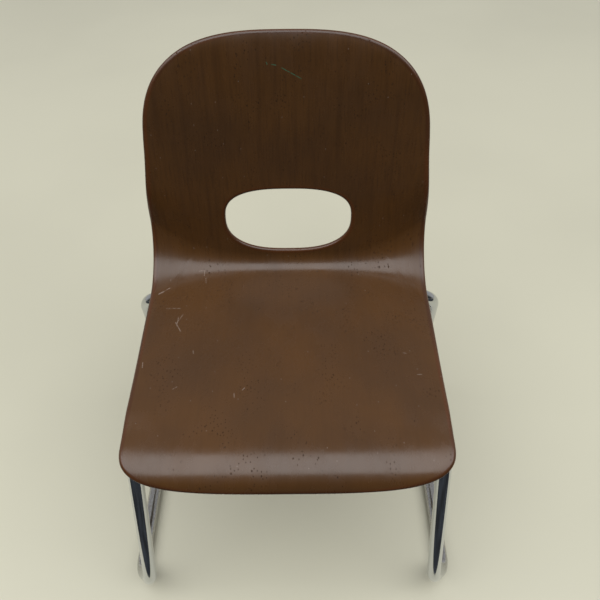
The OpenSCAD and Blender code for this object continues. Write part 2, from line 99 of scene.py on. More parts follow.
class ShellSizes(bpy.types.PropertyGroup):
    seat_w: length("Seat width", "Width of the seat", 0.425)
    hip_w: length("Hip width", "Width of the shell at the crease", 0.436)
    back_w: length("Back width", "Width of the upper part of the back", 0.416)
    shell_t: length("Thickness", "Thickness of the moulded shell", 0.009)
    seat_h: length("Seat height", "Height of the top of the front crown", 0.440)
    seat_run: length("Seat length", "From the front crown to the crease", 0.318)
    lip_r: length("Lip radius", "Radius of the rolled front edge", 0.038)
    crown_r: length("Crown radius", "Radius of the front crown", 0.072)
    crease_r: length("Crease radius", "Radius of the crease in the middle", 0.032)
    side_crease_r: length("Side crease radius", "Radius of the crease at the sides", 0.110)
    back_run: length("Lower back", "Length of the straight part of the back", 0.210)
    crest_run: length("Upper back", "Length of the part that curves rearwards", 0.100)
    roll_run: length("Top roll", "Length of the top edge that rolls back", 0.034)
    front_corner: length("Front corners", "Depth of the rounded front corners", 0.062)
    top_corner: length("Top corners", "Depth of the rounded top corners", 0.170)
    seat_tilt: angle("Seat tilt", "Fall of the seat towards the back", 4)
    seat_hollow: angle("Seat hollow", "Change of slope along the seat", 3)
    lip_turn: angle("Lip turn", "Angle that the front edge rolls down", 70)
    crown_turn: angle("Crown turn", "How much of that angle the crown turns", 30)
    back_lean: angle("Back lean", "Lean of the back from upright", 13)
    crest_turn: angle("Crest turn", "Extra lean reached at the top of the upper back", 5)
    roll_turn: angle("Top roll turn", "Extra lean reached at the very top", 14)
    dish_front: length("Dish, front", "Rise of the sides at the front edge", 0.003)
    dish_seat: length("Dish, seat", "Rise of the sides behind the front crown", 0.012)
    dish_fade: length("Dish, fade", "Length over which that rise fades out at the crown", 0.080)
    dish_crease: length("Dish, crease", "How far the sides come forward at the crease", 0.012)
    dish_back: length("Dish, back", "How far the sides come forward on the lower back", 0.024)
    dish_top: length("Dish, top", "How far the sides come forward at the top", 0.012)
    slot_w: length("Slot width", "Width of the hand slot", 0.200)
    slot_h: length("Slot height", "Height of the hand slot, along the surface", 0.107)
    slot_up: length("Slot place", "From the crease up to the middle of the slot", 0.061)
    front_power: power("Front squareness", "Squareness of the front corners", 3.1)
    top_power: power("Top squareness", "Squareness of the top corners", 2.83)
    slot_power: power("Slot squareness", "Squareness of the hand slot", 2.7)
    dish_power: power("Dish start", "How far out the dishing starts", 3)
    ease_run: length("Edge ease", "Width of the eased strip along the shell's edge", 0.016)
    ease_drop: length("Edge ease depth", "Fall of the upper face at the very edge", 0.0010)


class FrameSizes(bpy.types.PropertyGroup):
    tube_d: length("Tube", "Outside diameter of the tube", 0.022)
    runner_span: length("Runner span", "Between the runners, centre to centre", 0.534)
    front_span: length("Front span", "Between the front legs at their top bends", 0.434)
    rear_span: length("Rear span", "Between the rear top corners", 0.482)
    knee_span: length("Knee span", "Between the front legs at the knee", 0.477)
    knee_h: length("Knee height", "Height of the knee", 0.060)
    front_top_y: length("Front bend place", "From the front edge back to the front bend", 0.096)
    knee_y: length("Knee place", "From the front edge back to the knee", 0.009)
    front_foot_y: length("Front foot place", "From the front edge back to the front foot", 0.040)
    rear_top_y: length("Rear rail place", "From the front edge back to the rear rail", 0.354)
    rear_foot_y: length("Rear foot place", "From the front edge back to the rear foot", 0.444)
    rail_span: length("Rail span", "Between the rear ends of the seat rails", 0.300)
    front_bend: length("Front bend", "Bend radius at the front top", 0.048)
    rear_bend: length("Rear bend", "Bend radius at the rear top", 0.034)
    foot_bend: length("Foot bend", "Bend radius at the knee and the front foot", 0.036)
    heel_bend: length("Heel bend", "Bend radius at the rear foot", 0.060)
    rail_margin: length("Rail margin", "Clear length beside a seat rail", 0.004)
    cross_at: length("Cross tube place", "From the front bend back to the cross tube", 0.044)
    cross_d: length("Cross tube", "Outside diameter of the front cross tube", 0.018)
    weld_r: length("Weld bead", "Radius of a weld bead", 0.0022)


class FittingSizes(bpy.types.PropertyGroup):
    rail_drop: length("Rail drop", "Gap between the seat rails and the seat", 0.010)
    bracket_t: length("Bracket thickness", "Thickness of the brackets", 0.003)
    bracket_w: length("Bracket width", "Width of the brackets", 0.030)
    pad_t: length("Pad thickness", "Thickness of the resilient pads", 0.003)
    boss_d: length("Boss", "Diameter of the bosses and pads", 0.026)
    screw_d: length("Screw", "Diameter of the fixing screws", 0.006)
    screw_side: length("Screw offset", "From a rail's centre to its screws", 0.025)
    front_screw: length("Front screws", "From the front bend back to the front screws", 0.072)
    rear_screw: length("Rear screws", "From the front bend back to the rear screws", 0.208)
    insert_d: length("Insert", "Outside diameter of the threaded inserts", 0.010)
    washer_t: length("Flat washer", "Thickness of the flat washers", 0.0016)
    spring_t: length("Spring washer", "Thickness of the spring washers", 0.0016)
    glide_h: length("Glide height", "Height of a glide's pad under the runner", 0.004)
    glide_len: length("Glide length", "Length of a floor glide", 0.044)
    glide_w: length("Glide width", "Width of a floor glide", 0.015)
    front_glide: length("Front glides", "From the front foot back to the front glides", 0.045)
    rear_glide: length("Rear glides", "From the rear foot forward to the rear glides", 0.075)
    buffer_span: length("Buffer span", "Between the stacking buffers", 0.240)
    buffer_len: length("Buffer length", "Length of a stacking buffer", 0.030)
    buffer_wall: length("Buffer wall", "Wall of a stacking buffer", 0.004)


class Colours(bpy.types.PropertyGroup):
    shell: paint("Shell", "Main brown of the shell", "#48301a")
    shell_dark: paint("Shell streaks", "Dark streaks and pits of the shell", "#26170c")
    shell_warm: paint("Shell mottling", "Warmer patches of the shell", "#583919")
    shell_edge: paint("Shell edge", "Polished edge of the shell", "#532f16")
    nick: paint("Nicks", "Pale nicks and scratches", "#9c8b80")
    smear: paint("Smear", "Trace of green paint on the back", "#3f6a52")
    chrome: paint("Chrome", "Bright plated tube", "#c6c8ca")
    floor: paint("Floor", "Pale floor", "#cecbb6")


# ---- surfaces

def surface(name, points, loop=False, sharp=35, **values):
    """A mesh object from a grid of rings, points[ring, place, xyz], each ring closed on itself.

    With loop the last ring joins the first; without it the end rings are poles or are given a
    flat face. Values are numbers or vectors of each point, kept as attributes of the mesh.
    """
    rings, places = points.shape[:2]
    ring = np.arange(rings if loop else rings - 1)[:, None] * places
    after = (ring + places) % (rings * places)
    here = np.arange(places)[None, :]
    there = (here + 1) % places
    faces = np.stack([ring + here, ring + there, after + there, after + here], axis=-1).reshape(-1, 4)
    flat = points.reshape(-1, 3)
    a, b, c, d = ((flat - flat.mean(axis=0))[faces[:, i]] for i in range(4))
    volume = np.einsum("ij,ij->", a, np.cross(b, c)) + np.einsum("ij,ij->", a, np.cross(c, d))
    faces = faces.tolist()
    if not loop:
        faces += [list(range(places))[::-1], list(range((rings - 1) * places, rings * places))]
    if volume < 0:
        faces = [face[::-1] for face in faces]
    mesh = bpy.data.meshes.new(name)
    mesh.from_pydata(flat.tolist(), [], faces)
    for key, value in values.items():
        kind, field = ("FLOAT_VECTOR", "vector") if value.ndim == 3 else ("FLOAT", "value")
        mesh.attributes.new(key, kind, "POINT").data.foreach_set(field, value.astype(np.float32).ravel())
    work = bmesh.new()
    work.from_mesh(mesh)
    bmesh.ops.remove_doubles(work, verts=work.verts, dist=1e-7)
    bmesh.ops.dissolve_degenerate(work, edges=work.edges, dist=1e-8)
    work.to_mesh(mesh)
    work.free()
    mesh.shade_smooth()
    mesh.set_sharp_from_angle(angle=radians(sharp))
    thing = bpy.data.objects.new(name, mesh)
    bpy.context.scene.collection.objects.link(thing)
    return thing


def piece(name, points, coat, *nodes, **options):
    """A finished piece: its mesh, material, body and the CAD nodes it stands for."""
    made = surface(name, points, **options)
    made.data.materials.append(finish(coat))
    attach(made, "root")
    if nodes:
        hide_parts(*nodes)


def unit(v):
    """Vectors of length 1 along the last axis."""
    return v / np.linalg.norm(v, axis=-1, keepdims=True)


def smooth(t):
    """A smooth step from 0 to 1: three t squared less two t cubed."""
    t = np.clip(t, 0, 1)
    return t * t * (3 - 2 * t)


def blend(s, stations):
    """A value that eases from station to station, each given as (place, value)."""
    places, values = np.array(stations).T
    i = np.clip(np.searchsorted(places, s, side="left") - 1, 0, len(places) - 2)
    share = (s - places[i]) / (places[i + 1] - places[i])
    return values[i] + (values[i + 1] - values[i]) * smooth(share)


def circle(sides):
    """Angles that go once round."""
    return np.arange(sides) * 2 * pi / sides


class Form:
    """The middle surface of the shell and the plane of the seat rails, worked out from the sizes.

    The surface's centre line is a chain of arcs. At the sides the same chain has a rounder
    crease, and a point in between is mixed from both by the share |2x/width|^power. The sides
    are then raised along the normal by the dish.
    """

    def __init__(self, scene):
        shell = self.shell = scene.chair_shell
        tubes = self.tubes = scene.chair_frame
        fit = self.fit = scene.chair_fittings
        edge = shell.lip_turn + shell.seat_tilt + shell.seat_hollow / 2 - shell.crown_turn
        crease = pi / 2 - shell.back_lean + shell.seat_tilt - shell.seat_hollow / 2
        cut = (shell.side_crease_r - shell.crease_r) * tan(crease / 2)
        self.turns = np.array([-edge, -shell.crown_turn, shell.seat_hollow, crease,
                               0, -shell.crest_turn, -shell.roll_turn])
        self.middle = np.array([shell.lip_r * edge, shell.crown_r * shell.crown_turn, shell.seat_run,
                                shell.crease_r * crease, shell.back_run, shell.crest_run, shell.roll_run])
        self.side = self.middle - [0, 0, cut, 0, cut, 0, 0]
        self.side[3] = shell.side_crease_r * crease
        self.ends = np.cumsum(self.middle)
        _, self.seat, self.crease, self.back, self.crest, _, self.top = self.ends
        self.slot = self.back + shell.slot_up
        self.dishes = [
            (self.seat - shell.dish_fade / 4, shell.dish_front),
            (self.seat + shell.dish_fade * 3 / 4, shell.dish_seat),
            ((self.crease + self.back) / 2, shell.dish_crease),
            (self.back + shell.back_run / 2, shell.dish_back), (self.top, shell.dish_top)]
        self.widths = [
            (shell.front_corner, shell.seat_w / 2), (self.back, shell.hip_w / 2),
            (self.crest, shell.back_w / 2), (self.top, shell.back_w / 2 + 1e-9)]
        self.starts = [self.chain(self.middle), self.chain(self.side)]
        self.lift = np.zeros(3)
        crown_z = self.line(np.array(self.seat))[1]
        low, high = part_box("seat_shell")
        sample = self.skin(np.linspace(0, 2, 361), self.rings(12, 6))[0][..., 1]
        self.lift = np.array([0, (low[1] + high[1] - sample.min() - sample.max()) / 2,
                              shell.seat_h - shell.shell_t / 2 - crown_z])
        self.front = low[1]
        self.runner_z = fit.glide_h + tubes.tube_d / 2
        self.joint_x = tubes.rail_span / 2 + tubes.tube_d + tubes.rail_margin
        # heights above the rails' axis, from the bracket's underside up and down
        sunk = 0.001  # how far a bracket is let down round its rail
        self.bracket_n = tubes.tube_d / 2 - sunk
        self.pad_n = self.bracket_n + fit.bracket_t
        self.boss_n = self.pad_n + fit.pad_t
        self.washer_n = self.bracket_n - fit.washer_t
        self.spring_n = self.washer_n - fit.spring_t
        # the plane of the seat rails
        front_y = self.front + tubes.front_top_y
        rear_y = self.front + tubes.rear_top_y
        drop = fit.rail_drop + tubes.tube_d / 2
        front = np.array([0, front_y, self.under(front_y) - drop])
        rear = np.array([0, rear_y, self.under(rear_y) - drop])
        self.rail_len = float(np.linalg.norm(rear - front))
        self.origin = front
        self.along_rail = (rear - front) / self.rail_len
        self.up = np.cross([1, 0, 0], self.along_rail)

    def chain(self, lengths):
        """Where each arc starts: y, z and heading."""
        at = [np.array([0, 0, self.shell.lip_turn])]
        for i in range(len(lengths) - 1):
            at.append(self.arc(at[-1], lengths[i], self.turns[i]))
        return np.array(at)

    @staticmethod
    def arc(start, run, turn):
        """The end of an arc: its chord is run times sin(turn/2)/(turn/2), along the mean heading."""
        chord = run * np.sinc(turn / 2 / pi)
        heading = start[..., 2] + turn / 2
        return np.stack([start[..., 0] + chord * np.cos(heading),
                         start[..., 1] + chord * np.sin(heading), start[..., 2] + turn], axis=-1)

    def line(self, s, which=0):
        """The centre line, or the line of the sides, at the place that s has on the centre line."""
        i = np.clip(np.searchsorted(self.ends, s, side="left"), 0, len(self.ends) - 1)
        share = (s - (self.ends[i] - self.middle[i])) / self.middle[i]
        lengths = (self.middle, self.side)[which]
        return self.arc(self.starts[which][i], lengths[i] * share, self.turns[i] * share)

    def mid(self, x, s):
        """The middle surface at x across and s along."""
        share = (np.abs(x) * 2 / self.shell.seat_w) ** self.shell.dish_power
        y, z, heading = np.moveaxis(
            self.line(s) * (1 - share)[..., None] + self.line(s, 1) * share[..., None], -1, 0)
        rise = blend(s, self.dishes) * share
        return np.stack([x, y - rise * np.sin(heading), z + rise * np.cos(heading)], axis=-1) + self.lift

    def normal(self, x, s):
        """The normal towards the sitter: across times along, both by differences."""
        across = self.mid(x + NEAR, s) - self.mid(x - NEAR, s)
        along = self.mid(x, s + NEAR) - self.mid(x, s - NEAR)
        return unit(np.cross(across, along))

    def seat_place(self, y):
        """The place along the seat that is over y, by the seat's fall."""
        return np.array(
            self.seat + (y - self.lift[1] - self.line(np.array(self.seat))[0]) / cos(self.shell.seat_tilt))

    def under(self, y):
        """Height of the shell's underside on the centre line, along the seat."""
        return (self.mid(np.array(0.0), self.seat_place(y))[2]
                - self.shell.shell_t / 2 / cos(self.shell.seat_tilt))

    def outline(self, t, inset):
        """The shell's edge in the flat, drawn in by inset. t is 0 at the front and 1 at the top.

        Corners are superellipses: cos^(2/p) across and sin^(2/p) along.
        """
        corner, crease, back, top = 0.2, 0.36, 0.54, 0.7  # where t reaches each of them
        shell = self.shell
        side = np.where(t > 1, -1, 1)
        t = np.where(t > 1, 2 - t, t)
        a = np.clip(1 - t / corner, 0, 1) * pi / 2
        front_x = (shell.seat_w / 2 - inset) * np.cos(a) ** (2 / shell.front_power)
        front_s = shell.front_corner - (shell.front_corner - inset) * np.sin(a) ** (2 / shell.front_power)
        start = self.top - shell.top_corner
        past = 0.01  # the crease's share of t starts this far before it and ends this far after it
        side_s = np.interp(t, [corner, crease, back, top],
                           [shell.front_corner, self.crease - past, self.back + past, start])
        b = np.clip((t - top) / (1 - top), 0, 1) * pi / 2
        top_s = start + (shell.top_corner - inset) * np.sin(b) ** (2 / shell.top_power)
        s = np.where(t < corner, front_s, np.where(t < top, side_s, top_s))
        wide = blend(s, self.widths) - inset
        top_x = wide * np.abs(np.cos(b)) ** (2 / shell.top_power)
        x = np.where(t < corner, front_x, np.where(t < top, wide, top_x))
        return np.stack([x * side, s], axis=-1)

    def slot_edge(self, t, inset):
        """The edge of the hand slot, a superellipse, grown by inset."""
        shell = self.shell
        side = np.where(t > 1, -1, 1)
        a = (np.where(t > 1, 2 - t, t) - 0.5) * pi
        x = (shell.slot_w / 2 + inset) * np.abs(np.cos(a)) ** (2 / shell.slot_power)
        s = self.slot + (shell.slot_h / 2 + inset) * np.sign(a) * np.abs(np.sin(a)) ** (2 / shell.slot_power)
        return np.stack([x * side, s], axis=-1)

    def rings(self, across, round_steps):
        """The shell's rings as share of the way out, inset and height: top, rim, underside, slot rim."""
        half = self.shell.shell_t / 2
        out = smooth(np.linspace(0, 1, across + 1))
        a = np.linspace(0, pi, round_steps + 1)[1:-1]
        flat = np.full_like(out, half)
        rim = np.stack([np.ones_like(a), half * (1 - np.sin(a)), half * np.cos(a)], axis=-1)
        return np.concatenate([
            np.stack([out, flat, flat], axis=-1), rim,
            np.stack([out[::-1], flat, -flat], axis=-1), (rim * [0, 1, 1])[::-1]])

    def skin(self, t, rings):
        """The shell's points, and their places in the flat: rings go from the slot to the outline.

        Within ease_run of the edge the upper face falls by ease_drop times (1 - away/run)^2.
        """
        share, inset, height = rings.T[:, :, None]
        place = self.slot_edge(t, inset) * (1 - share)[..., None] + self.outline(t, inset) * share[..., None]
        x, s = place[..., 0], place[..., 1]
        away = np.linalg.norm(place - self.outline(t, 0.0), axis=-1)
        half = self.shell.shell_t / 2
        fall = np.clip(1 - away / self.shell.ease_run, 0, 1) ** 2 * np.clip(height / half, 0, 1)
        height = height - self.shell.ease_drop * fall
        return self.mid(x, s) + self.normal(x, s) * height[..., None], place

    def under_n(self, x, a):
        """Height of the shell's underside above the rails' axis, over a point of their plane."""
        x, s = np.array(x), self.seat_place((self.origin + self.along_rail * a)[1])
        return float((self.mid(x, s) - self.normal(x, s) * self.shell.shell_t / 2 - self.origin) @ self.up)

    def fixings(self):
        """The four fixings: name, side's sign, x across and a along the rails' plane."""
        fit = self.fit
        for end, a in (("front", fit.front_screw), ("rear", fit.rear_screw)):
            for sign, side in SIDES:
                yield f"{end}_{side}", sign, sign * (self.rail_x(a) - fit.screw_side), a

    def side_path(self):
        """Corner points of the right-hand side tube, from the seat rail round to the rear rail."""
        tubes = self.tubes
        return [
            self.on_plane(self.rail_x(self.rail_len), self.rail_len), self.on_plane(self.rail_x(0), 0),
            self.from_edge(tubes.knee_span / 2, tubes.knee_y, tubes.knee_h),
            self.from_edge(tubes.runner_span / 2, tubes.front_foot_y, self.runner_z),
            self.from_edge(tubes.runner_span / 2, tubes.rear_foot_y, self.runner_z),
            self.on_plane(tubes.rear_span / 2, self.rail_len), self.on_plane(self.joint_x, self.rail_len)]

    def on_plane(self, x, a, n=0.0):
        """A point of the rails' plane: x across, a back from the front bends, n above the rails."""
        axes = ([1, 0, 0], self.along_rail, self.up)
        return self.origin + sum(np.multiply.outer(far, axis) for far, axis in zip((x, a, n), axes))

    def rail_x(self, a):
        """Half the distance between the seat rails at a."""
        tubes = self.tubes
        return tubes.front_span / 2 + (tubes.rail_span - tubes.front_span) / 2 * a / self.rail_len

    def from_edge(self, x, y, z):
        """A point given from the front edge of the shell and the floor."""
        return np.array([x, self.front + y, z])

    def place(self, points, x, a, n=0.0):
        """Puts local points on the rails' plane, local z along its normal."""
        axes = np.stack([[1, 0, 0], self.along_rail, self.up])
        return points @ axes + self.on_plane(x, a, n)


# ---- materials

EASED = {"interpolation_type": "SMOOTHSTEP"}


def connect(node, inputs):
    """Links or sets a node's inputs, each given by its name or place."""
    for key, value in inputs.items():
        if isinstance(value, bpy.types.NodeSocket):
            node.id_data.links.new(value, node.inputs[key])
        else:
            node.inputs[key].default_value = value


def add(tree, kind, inputs=(), out=0, **settings):
    """Adds one node with its settings and inputs, and gives one of its outputs.

    A kind may have its operation after a dot. Inputs are a list in the node's own order, or a
    dictionary by name or place.
    """
    kind, _, operation = kind.partition(".")
    made = tree.nodes.new("ShaderNode" + kind)
    if operation:
        made.operation = operation
    for key, value in settings.items():
        setattr(made, key, value)
    connect(made, inputs if isinstance(inputs, dict) else dict(enumerate(inputs)))
    return made.outputs[out]


def coated(tree, colour, coats):
    """A colour with coats over it, each given as its pattern, the most that it covers and its colour.

    A Mix node keeps its colour sockets at 6, 7 and 2.
    """
    for pattern, most, over in coats:
        share = add(tree, "Math.MULTIPLY", [pattern, most])
        colour = add(tree, "Mix", {0: share, 6: colour, 7: over}, 2, data_type="RGBA")
    return colour


def cycles(mm):
    """Cycles to the metre on each axis, where so many millimetres go to one cycle."""
    return (1000 / np.broadcast_to(mm, 3)).tolist()


def cloudy(tree, place, mm, *levels, detail=2.0, rough=0.5):
    """A cloudy pattern, with so many millimetres to one cycle.

    Levels are a low and a high value, and what they turn to where that isn't 0 and 1.
    """
    place = add(tree, "Mapping", {"Vector": place, "Scale": cycles(mm)})
    noise = {"Vector": place, "Scale": 1.0, "Detail": detail, "Roughness": rough}
    cloud = add(tree, "TexNoise", noise, "Fac")
    return add(tree, "MapRange", [cloud, *levels], **EASED) if levels else cloud


def spots(tree, place, mm, small, large, rare):
    """Round spots, one to a cell at most: 1 inside small, 0 outside large, kept where a draw beats rare."""
    place = add(tree, "Mapping", {"Vector": place, "Scale": cycles(mm)})
    away = add(tree, "TexVoronoi", {"Vector": place, "Scale": 1.0}, "Distance", voronoi_dimensions="2D")
    draw = add(tree, "SeparateColor", [away.node.outputs["Color"]])
    kept = add(tree, "Math.GREATER_THAN", [draw, rare])
    spot = add(tree, "MapRange", [away, large, small], **EASED)
    return add(tree, "Math.MULTIPLY", [spot, kept])


# traces of use on the shell, as ends (x, s, x, s) in millimetres across it and along it
PALE_MARKS = (
    (-190, 340, -169, 330), (-163, 313, -170, 296), (-172, 298, -162, 274), (-169, 310, -169, 289),
    (-206, 387, -191, 388), (-140, 401, -140, 394), (-137, 390, -135, 380), (-149, 400, -141, 401),
    (-206, 219, -205, 207), (-139, 228, -138, 222), (-158, 155, -153, 159), (-63, 149, -60, 153),
    (-74, 144, -73, 136), (165, 225, 170, 224), (180, 182, 186, 183))
GREEN_MARKS = ((-26, 733, -25, 730), (-19, 730, -13, 729), (-6, 726, 22, 711))


def marks(tree, grain, ends, height):
    """Short strokes on the upper face: 1 within about 0.3 mm of a line between two points.

    A point's distance from a to b is the length of p - a less (b - a) times the clamped share
    (p - a).(b - a) / |b - a|^2.
    """
    drawn = 0.0
    for x0, s0, x1, s1 in ends:
        start = (x0 / 1000, s0 / 1000, height)
        run = np.array([x1 - x0, s1 - s0, 0]) / 1000
        away = add(tree, "VectorMath.SUBTRACT", [grain, start])
        share = add(tree, "VectorMath.DOT_PRODUCT", [away, run / (run @ run)], "Value")
        share = add(tree, "Math.MULTIPLY", [share, 1.0], use_clamp=True)
        foot = add(tree, "VectorMath.SCALE", {0: run, "Scale": share})
        gap = add(tree, "VectorMath.DISTANCE", [away, foot], "Value")
        stroke = add(tree, "MapRange", [gap, 0.0007, 0.0002], **EASED)
        drawn = add(tree, "Math.MAXIMUM", [drawn, stroke])
    broken = cloudy(tree, grain, 3, 0.35, 0.55, 0.25, 1.0)
    return add(tree, "Math.MULTIPLY", [drawn, broken])


def pressed_wood(tree):
    """Wood pressed hot with phenolic resin in a steel mould.

    It gives a dark, fairly glossy skin with fine lines up the back, a mottled seat with clusters
    of dark pits where the resin didn't fill, pale marks of use, and a redder, layered edge.
    """
    colours = bpy.context.scene.chair_colours
    upper_face = bpy.context.scene.chair_shell.shell_t / 2
    brown, dark, warm = (*colours.shell, 1), (*colours.shell_dark, 1), (*colours.shell_warm, 1)
    grain = add(tree, "Attribute", out="Vector", attribute_name="grain")
    edge = add(tree, "Attribute", out="Fac", attribute_name="edge")
    back = add(tree, "MapRange", [add(tree, "SeparateXYZ", [grain], "Y"), 0.38, 0.46, 0.25, 1.0], **EASED)
    # grain lines are about 0.5 mm apart, and are drawn 1.6 mm apart so that they show
    lines = cloudy(tree, grain, (1.6, 45, 70), detail=3.0, rough=0.6)
    narrow = add(tree, "MapRange", [lines, 0.45, 0.75, 0.0, 0.42], **EASED)
    broad = cloudy(tree, grain, (9, 200, 200), 0.45, 0.75, 0.0, 0.28)
    streaks = add(tree, "Math.MAXIMUM", [narrow, broad])
    streaks = add(tree, "Math.MULTIPLY", [streaks, back])
    mottle = cloudy(tree, grain, (120, 140, 90), 0.3, 0.7, 0.1, 0.7, detail=4.0)
    # pits come in clusters
    cluster = cloudy(tree, grain, (40, 55, 40), 0.5, 0.62)
    fine = spots(tree, grain, (5, 7, 5), 0.08, 0.18, 0.5)
    coarse = spots(tree, grain, (13, 19, 13), 0.05, 0.09, 0.5)
    pits = add(tree, "Math.MAXIMUM", [fine, coarse])
    pits = add(tree, "Math.MULTIPLY", [cluster, pits])
    layers = cloudy(tree, grain, (150, 150, 1.3), 0.4, 0.6, 0.0, 0.45, detail=1.0)
    nicks = add(tree, "Math.MULTIPLY", [spots(tree, grain, (31, 52, 34), 0.012, 0.022, 0.6), 0.6])
    pale = add(tree, "Math.MAXIMUM", [nicks, marks(tree, grain, PALE_MARKS, upper_face)])
    colour = coated(tree, brown, (
        (mottle, 1.0, warm), (streaks, 1.0, dark), (pits, 0.75, dark),
        (edge, 0.8, coated(tree, (*colours.shell_edge, 1), [(layers, 1.0, dark)])),
        (pale, 0.6, (*colours.nick, 1)),
        (marks(tree, grain, GREEN_MARKS, upper_face), 1.0, (*colours.smear, 1))))
    worn = add(tree, "Math.MAXIMUM", [pale, pits])
    worn = add(tree, "Math.MULTIPLY", [worn, 0.6])
    smudge = cloudy(tree, grain, (38, 60, 45), 0.3, 0.72, 0.2, 0.34, detail=5.0, rough=0.65)
    skin = cloudy(tree, grain, 2.4, detail=3.0, rough=0.6)
    relief = 0.0
    ridges = add(tree, "Math.MULTIPLY", [lines, back])
    for pattern, height in ((ridges, 0.12), (skin, 0.16), (pits, -0.6), (pale, -0.5)):
        relief = add(tree, "Math.MULTIPLY_ADD", [pattern, height, relief])
    return {
        "Base Color": colour, "IOR": 1.5,
        "Roughness": add(tree, "Math.MAXIMUM", [smudge, worn]),
        # little light comes back out of a pit
        "Specular IOR Level": add(tree, "MapRange", [pits, 0.0, 1.0, 0.5, 0.15], **EASED),
        "Normal": add(tree, "Bump", {"Height": relief, "Distance": 0.00015, "Strength": 0.6})}


def chromium_plate(tree):
    """Bright chromium plate on drawn steel tube: a clean mirror, a little hazed by handling.

    Near the floor it is scuffed in specks, which are duller and browner.
    """
    place = add(tree, "TexCoord", out="Object")
    haze = cloudy(tree, place, 30, 0.3, 0.75, 0.05, 0.12, detail=4.0, rough=0.6)
    specks = cloudy(tree, place, 2.2, 0.42, 0.62, 0.15, 0.65)
    low = add(tree, "MapRange", [add(tree, "SeparateXYZ", [place], "Z"), 0.07, 0.015], **EASED)
    worn = add(tree, "Math.MULTIPLY", [low, specks])
    bright = (*bpy.context.scene.chair_colours.chrome, 1)
    return {
        "Metallic": 1.0, "Base Color": coated(tree, bright, [(worn, 1.0, linear("#8c8175"))]),
        "Roughness": add(tree, "Math.MULTIPLY_ADD", [worn, 0.3, haze])}


def small_metal(tree, code, rough, line_mm):
    """A plain small metal part: turned or pressed, so it has fine lines, with duller patches."""
    place = add(tree, "TexCoord", out="Object")
    lines = cloudy(tree, place, (line_mm, line_mm, line_mm / 4), detail=3.0)
    dull = add(tree, "MapRange", [lines, 0.4, 0.7, 0.0, 0.35], **EASED)
    return {
        "Metallic": 1.0, "Base Color": coated(tree, linear(code), [(dull, 1.0, linear("#6f6b66"))]),
        "Roughness": add(tree, "MapRange", [lines, 0.3, 0.7, rough, rough + 0.15], **EASED)}


def soft_black(tree, code, rough, grit_mm, depth):
    """Moulded rubber or nylon: almost black, with a fine moulded grit and a dusty bloom."""
    place = add(tree, "TexCoord", out="Object")
    dust = cloudy(tree, place, 18, detail=4.0)
    bloom = add(tree, "MapRange", [dust, 0.45, 0.75, 0.0, 0.25], **EASED)
    grit = {"Height": cloudy(tree, place, grit_mm), "Distance": depth, "Strength": 0.5}
    return {
        "Base Color": coated(tree, linear(code), [(bloom, 1.0, linear("#6b665e"))]),
        "Roughness": add(tree, "MapRange", [dust, 0.3, 0.7, rough, rough + 0.12], **EASED),
        "Normal": add(tree, "Bump", grit)}


def painted_floor(tree):
    """A pale painted floor, a little glossy, with faint uneven rolling."""
    place = add(tree, "TexCoord", out="Object")
    pale = bpy.context.scene.chair_colours.floor
    darker = (*(0.94 * value for value in pale), 1)
    uneven = cloudy(tree, place, 900, 0.35, 0.7, detail=3.0)
    rolling = {"Height": cloudy(tree, place, 6), "Distance": 0.0001, "Strength": 0.3}
    return {
        "Base Color": coated(tree, (*pale, 1), [(uneven, 1.0, darker)]), "Roughness": 0.38,
        "Normal": add(tree, "Bump", rolling)}


def dark_ground(tree):
    """Dark uneven ground, so that the reflections in the chrome aren't flat.

    It is clear from below, so that the floor under it is lit as the rest of the floor.
    """
    place = add(tree, "TexCoord", out="Object")
    uneven = cloudy(tree, place, 120, 0.35, 0.65, detail=3.0)
    below = add(tree, "NewGeometry", out="Backfacing")
    return {
        "Base Color": coated(tree, linear("#0d1014"), [(uneven, 1.0, linear("#31363d"))]), "Roughness": 0.9,
        "Alpha": add(tree, "Math.SUBTRACT", [1.0, below])}


# each finish: the material's name, how it is made, and what that takes
FINISHES = {
    "shell": ("resin_pressed_wood", pressed_wood),
    "chrome": ("chromium_plate", chromium_plate),
    "steel": ("drawn_steel", small_metal, "#8d8f92", 0.3, 1.5),
    "zinc": ("zinc_plate", small_metal, "#b4b7b9", 0.28, 1.2),
    "brass": ("turned_brass", small_metal, "#c2a05a", 0.25, 0.8),
    "rubber": ("moulded_rubber", soft_black, "#1d1c1b", 0.6, 0.8, 0.0001),
    "plastic": ("moulded_nylon", soft_black, "#232221", 0.42, 1.0, 0.00005),
    "floor": ("painted_floor", painted_floor),
    "ground": ("dark_ground", dark_ground),
}


@cache
def finish(name):
    """A material of this chair, made the first time that it is asked for."""
    title, recipe, *given = FINISHES[name]
    made = bpy.data.materials.new(title)
    made.use_nodes = True
    connect(made.node_tree.nodes["Principled BSDF"], recipe(made.node_tree, *given))
    return made


# ---- shapes of tubes, turned pieces and plates

def bent_path(corners, bends, step=radians(3)):
    """Stations of a tube bent at its corner points, as places and directions.

    In each bend the station turns about the arc's centre: out cos t + u sin t, times the radius.
    """
    places, ways = [corners[0]], [unit(corners[1] - corners[0])]
    for i in range(1, len(corners) - 1):
        u, w = unit(corners[i] - corners[i - 1]), unit(corners[i + 1] - corners[i])
        turn = np.arccos(u @ w)
        centre = corners[i] + unit(w - u) * bends[i] / cos(turn / 2)
        out = (corners[i] - u * bends[i] * tan(turn / 2) - centre) / bends[i]
        t = np.linspace(0, turn, max(2, int(turn / step)) + 1)[:, None]
        places.extend(centre + (out * np.cos(t) + u * np.sin(t)) * bends[i])
        ways.extend(u * np.cos(t) - out * np.sin(t))
    places.append(corners[-1])
    ways.append(unit(corners[-1] - corners[-2]))
    return np.array(places), np.array(ways)


